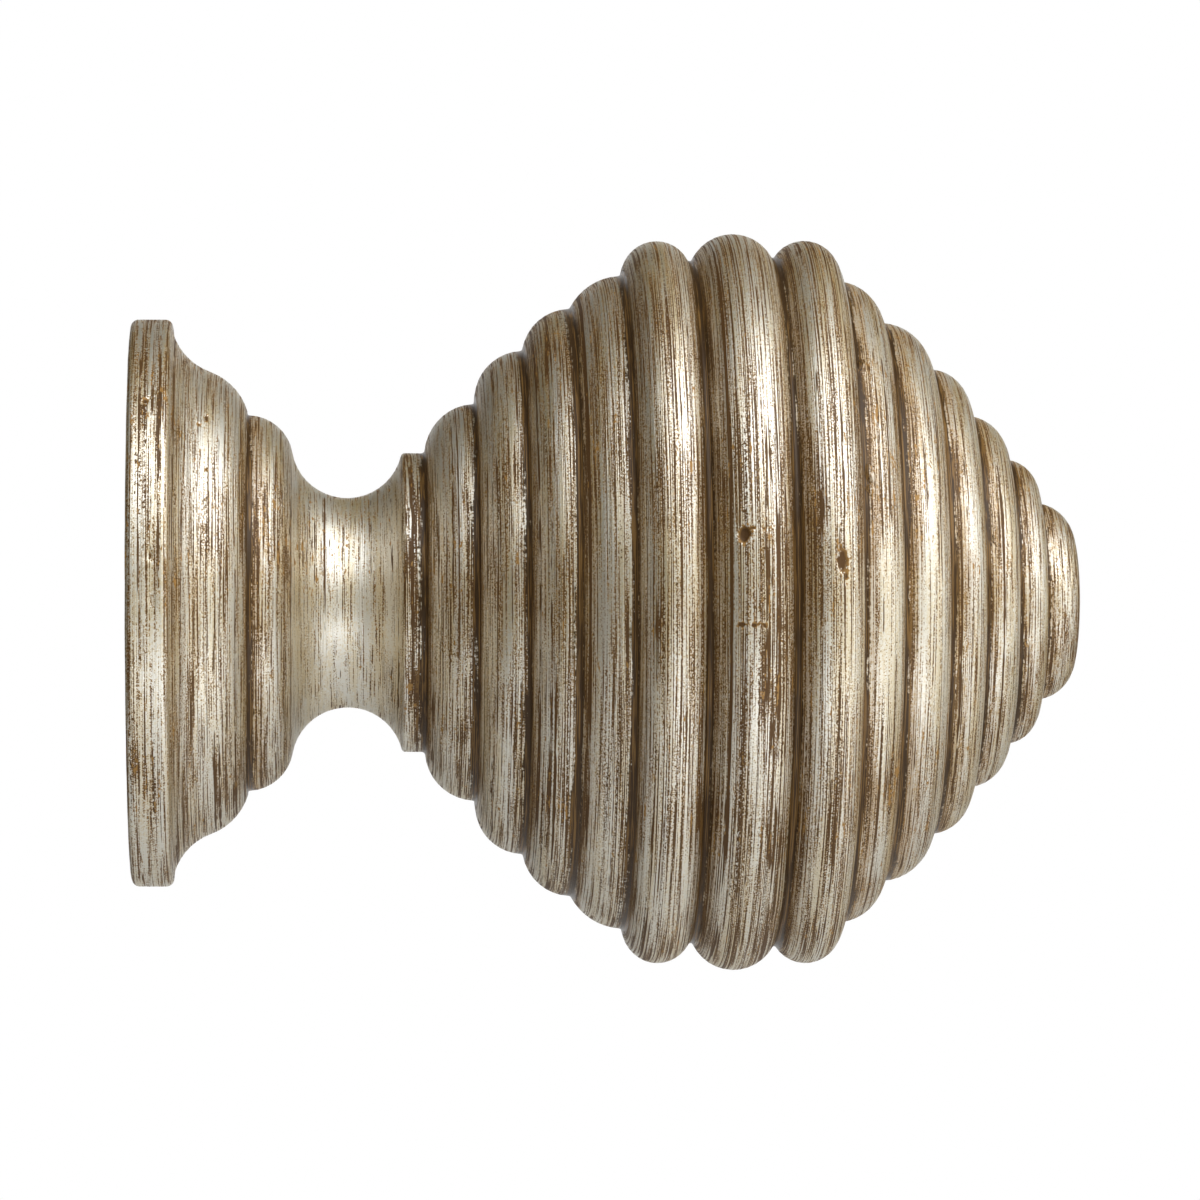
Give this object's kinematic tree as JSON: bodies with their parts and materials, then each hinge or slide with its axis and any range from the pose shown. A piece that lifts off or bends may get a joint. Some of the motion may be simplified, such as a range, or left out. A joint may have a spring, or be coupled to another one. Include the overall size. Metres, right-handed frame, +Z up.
{
  "type": "curtain pole finial",
  "caption": "Turned wooden curtain pole finial: round flange with ogee and bead, hollow neck and a ribbed ball tapering to a low dome, antiqued silver-leaf finish.",
  "frame": {"origin": "centre of the flat back face, where the turning axis meets the end of the pole", "axes": "+X along the turning axis from the back face out to the tip, +Z up when the pole is level"},
  "size_m": [0.1007, 0.0782, 0.0782],
  "materials": {
    "silver_leaf": "gessoed wood with antiqued silver leaf, streaked round the turning and glazed umber brown in the grooves"
  },
  "bodies": {
    "root": {"finial": "silver_leaf"}
  },
  "joints": []
}
